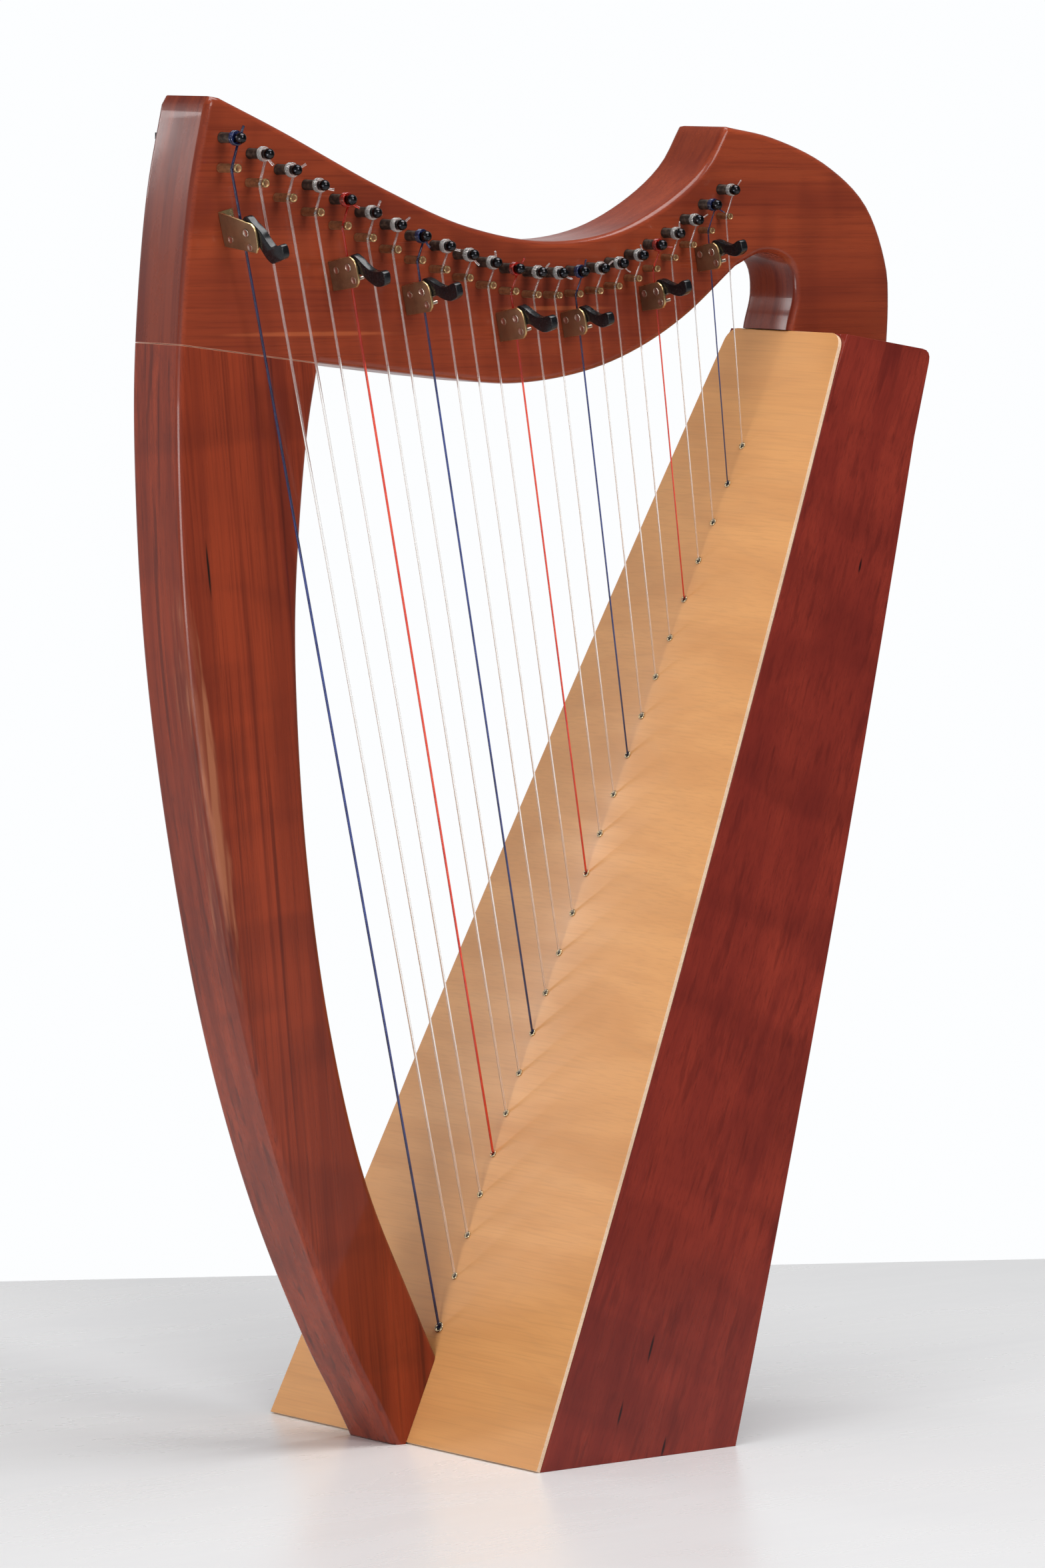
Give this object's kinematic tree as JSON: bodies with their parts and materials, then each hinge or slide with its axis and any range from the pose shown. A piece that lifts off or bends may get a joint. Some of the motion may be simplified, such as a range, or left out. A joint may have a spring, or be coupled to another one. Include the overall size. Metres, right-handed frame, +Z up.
{
  "type": "lever harp",
  "caption": "Small floor-standing lever harp with a curved pillar, a harmonic-curve neck, a tapering soundbox, tuning pins and flip-up semitone levers on some strings.",
  "frame": {"origin": "on the floor, under the middle of the harp's overall box", "axes": "+Z up; +X from the pillar towards the soundbox and the player; the strings hang on the -Y side of the neck, which is the player's left"},
  "size_m": [0.5902, 0.2752, 0.8605],
  "materials": {
    "cherry": "gloss varnish",
    "dark_cherry": "satin varnish",
    "birch": "satin varnish",
    "maple": "bare",
    "nylon": "polished",
    "blued_steel": "blued",
    "brass": "aged",
    "black_plastic": "gloss"
  },
  "bodies": {
    "frame": {"neck": "cherry", "pillar": "cherry", "soundboard": "birch", "side_left": "dark_cherry", "side_right": "dark_cherry", "back_panel": "dark_cherry", "bottom_panel": "dark_cherry", "top_block": "dark_cherry", "string_rib": "maple", "string_set": "nylon", "front_liner_left": "maple", "front_liner_right": "maple", "back_liner_left": "maple", "back_liner_right": "maple", "cross_brace_1": "maple", "cross_brace_2": "maple", "lever_plate_01": "brass", "lever_plate_05": "brass", "lever_plate_08": "brass", "lever_plate_12": "brass", "lever_plate_15": "brass", "lever_plate_19": "brass", "lever_plate_22": "brass"},
    "pin_01": {"tuning_pin_01": "blued_steel"},
    "pin_02": {"tuning_pin_02": "blued_steel"},
    "pin_03": {"tuning_pin_03": "blued_steel"},
    "pin_04": {"tuning_pin_04": "blued_steel"},
    "pin_05": {"tuning_pin_05": "blued_steel"},
    "pin_06": {"tuning_pin_06": "blued_steel"},
    "pin_07": {"tuning_pin_07": "blued_steel"},
    "pin_08": {"tuning_pin_08": "blued_steel"},
    "pin_09": {"tuning_pin_09": "blued_steel"},
    "pin_10": {"tuning_pin_10": "blued_steel"},
    "pin_11": {"tuning_pin_11": "blued_steel"},
    "pin_12": {"tuning_pin_12": "blued_steel"},
    "pin_13": {"tuning_pin_13": "blued_steel"},
    "pin_14": {"tuning_pin_14": "blued_steel"},
    "pin_15": {"tuning_pin_15": "blued_steel"},
    "pin_16": {"tuning_pin_16": "blued_steel"},
    "pin_17": {"tuning_pin_17": "blued_steel"},
    "pin_18": {"tuning_pin_18": "blued_steel"},
    "pin_19": {"tuning_pin_19": "blued_steel"},
    "pin_20": {"tuning_pin_20": "blued_steel"},
    "pin_21": {"tuning_pin_21": "blued_steel"},
    "pin_22": {"tuning_pin_22": "blued_steel"},
    "pin_23": {"tuning_pin_23": "blued_steel"},
    "lever_01": {"lever_handle_01": "black_plastic"},
    "lever_05": {"lever_handle_05": "black_plastic"},
    "lever_08": {"lever_handle_08": "black_plastic"},
    "lever_12": {"lever_handle_12": "black_plastic"},
    "lever_15": {"lever_handle_15": "black_plastic"},
    "lever_19": {"lever_handle_19": "black_plastic"},
    "lever_22": {"lever_handle_22": "black_plastic"}
  },
  "joints": [
    {"name": "tune_01", "type": "hinge", "parent": "frame", "child": "pin_01", "pos_m": [-0.26398, 0.02, 0.83498], "axis": [0, 1, 0], "range_deg": [-360, 45]},
    {"name": "tune_02", "type": "hinge", "parent": "frame", "child": "pin_02", "pos_m": [-0.24189, 0.02, 0.82522], "axis": [0, 1, 0], "range_deg": [-360, 45]},
    {"name": "tune_03", "type": "hinge", "parent": "frame", "child": "pin_03", "pos_m": [-0.21975, 0.02, 0.81542], "axis": [0, 1, 0], "range_deg": [-360, 45]},
    {"name": "tune_04", "type": "hinge", "parent": "frame", "child": "pin_04", "pos_m": [-0.1977, 0.02, 0.80588], "axis": [0, 1, 0], "range_deg": [-360, 45]},
    {"name": "tune_05", "type": "hinge", "parent": "frame", "child": "pin_05", "pos_m": [-0.17588, 0.02, 0.79691], "axis": [0, 1, 0], "range_deg": [-360, 45]},
    {"name": "tune_06", "type": "hinge", "parent": "frame", "child": "pin_06", "pos_m": [-0.15547, 0.02, 0.78883], "axis": [0, 1, 0], "range_deg": [-360, 45]},
    {"name": "tune_07", "type": "hinge", "parent": "frame", "child": "pin_07", "pos_m": [-0.13525, 0.02, 0.7811], "axis": [0, 1, 0], "range_deg": [-360, 45]},
    {"name": "tune_08", "type": "hinge", "parent": "frame", "child": "pin_08", "pos_m": [-0.11514, 0.02, 0.77394], "axis": [0, 1, 0], "range_deg": [-360, 45]},
    {"name": "tune_09", "type": "hinge", "parent": "frame", "child": "pin_09", "pos_m": [-0.09508, 0.02, 0.76761], "axis": [0, 1, 0], "range_deg": [-360, 45]},
    {"name": "tune_10", "type": "hinge", "parent": "frame", "child": "pin_10", "pos_m": [-0.07591, 0.02, 0.76207], "axis": [0, 1, 0], "range_deg": [-360, 45]},
    {"name": "tune_11", "type": "hinge", "parent": "frame", "child": "pin_11", "pos_m": [-0.05676, 0.02, 0.75701], "axis": [0, 1, 0], "range_deg": [-360, 45]},
    {"name": "tune_12", "type": "hinge", "parent": "frame", "child": "pin_12", "pos_m": [-0.03775, 0.02, 0.75303], "axis": [0, 1, 0], "range_deg": [-360, 45]},
    {"name": "tune_13", "type": "hinge", "parent": "frame", "child": "pin_13", "pos_m": [-0.01898, 0.02, 0.7507], "axis": [0, 1, 0], "range_deg": [-360, 45]},
    {"name": "tune_14", "type": "hinge", "parent": "frame", "child": "pin_14", "pos_m": [-0.00138, 0.02, 0.75019], "axis": [0, 1, 0], "range_deg": [-360, 45]},
    {"name": "tune_15", "type": "hinge", "parent": "frame", "child": "pin_15", "pos_m": [0.01622, 0.02, 0.75102], "axis": [0, 1, 0], "range_deg": [-360, 45]},
    {"name": "tune_16", "type": "hinge", "parent": "frame", "child": "pin_16", "pos_m": [0.03328, 0.02, 0.75305], "axis": [0, 1, 0], "range_deg": [-360, 45]},
    {"name": "tune_17", "type": "hinge", "parent": "frame", "child": "pin_17", "pos_m": [0.04932, 0.02, 0.75616], "axis": [0, 1, 0], "range_deg": [-360, 45]},
    {"name": "tune_18", "type": "hinge", "parent": "frame", "child": "pin_18", "pos_m": [0.06613, 0.02, 0.76121], "axis": [0, 1, 0], "range_deg": [-360, 45]},
    {"name": "tune_19", "type": "hinge", "parent": "frame", "child": "pin_19", "pos_m": [0.0818, 0.02, 0.76771], "axis": [0, 1, 0], "range_deg": [-360, 45]},
    {"name": "tune_20", "type": "hinge", "parent": "frame", "child": "pin_20", "pos_m": [0.09722, 0.02, 0.77516], "axis": [0, 1, 0], "range_deg": [-360, 45]},
    {"name": "tune_21", "type": "hinge", "parent": "frame", "child": "pin_21", "pos_m": [0.11299, 0.02, 0.78387], "axis": [0, 1, 0], "range_deg": [-360, 45]},
    {"name": "tune_22", "type": "hinge", "parent": "frame", "child": "pin_22", "pos_m": [0.1285, 0.02, 0.79355], "axis": [0, 1, 0], "range_deg": [-360, 45]},
    {"name": "tune_23", "type": "hinge", "parent": "frame", "child": "pin_23", "pos_m": [0.14402, 0.02, 0.8033], "axis": [0, 1, 0], "range_deg": [-360, 45]},
    {"name": "flip_01", "type": "hinge", "parent": "frame", "child": "lever_01", "pos_m": [-0.2635, -0.0312, 0.77653], "axis": [-0.9673, 0, -0.2535], "range_deg": [0, 52]},
    {"name": "flip_05", "type": "hinge", "parent": "frame", "child": "lever_05", "pos_m": [-0.17908, -0.0263, 0.75465], "axis": [-0.9702, 0, -0.2423], "range_deg": [0, 53]},
    {"name": "flip_08", "type": "hinge", "parent": "frame", "child": "lever_08", "pos_m": [-0.11986, -0.0263, 0.73892], "axis": [-0.9724, 0, -0.2333], "range_deg": [0, 44]},
    {"name": "flip_12", "type": "hinge", "parent": "frame", "child": "lever_12", "pos_m": [-0.04308, -0.0263, 0.7214], "axis": [-0.9753, 0, -0.221], "range_deg": [0, 63]},
    {"name": "flip_15", "type": "hinge", "parent": "frame", "child": "lever_15", "pos_m": [0.01044, -0.0235, 0.72142], "axis": [-0.9773, 0, -0.2121], "range_deg": [0, 47]},
    {"name": "flip_19", "type": "hinge", "parent": "frame", "child": "lever_19", "pos_m": [0.07603, -0.0235, 0.73786], "axis": [-0.9783, 0, -0.2071], "range_deg": [0, 55]},
    {"name": "flip_22", "type": "hinge", "parent": "frame", "child": "lever_22", "pos_m": [0.12273, -0.0235, 0.76303], "axis": [-0.9788, 0, -0.205], "range_deg": [0, 62]}
  ]
}
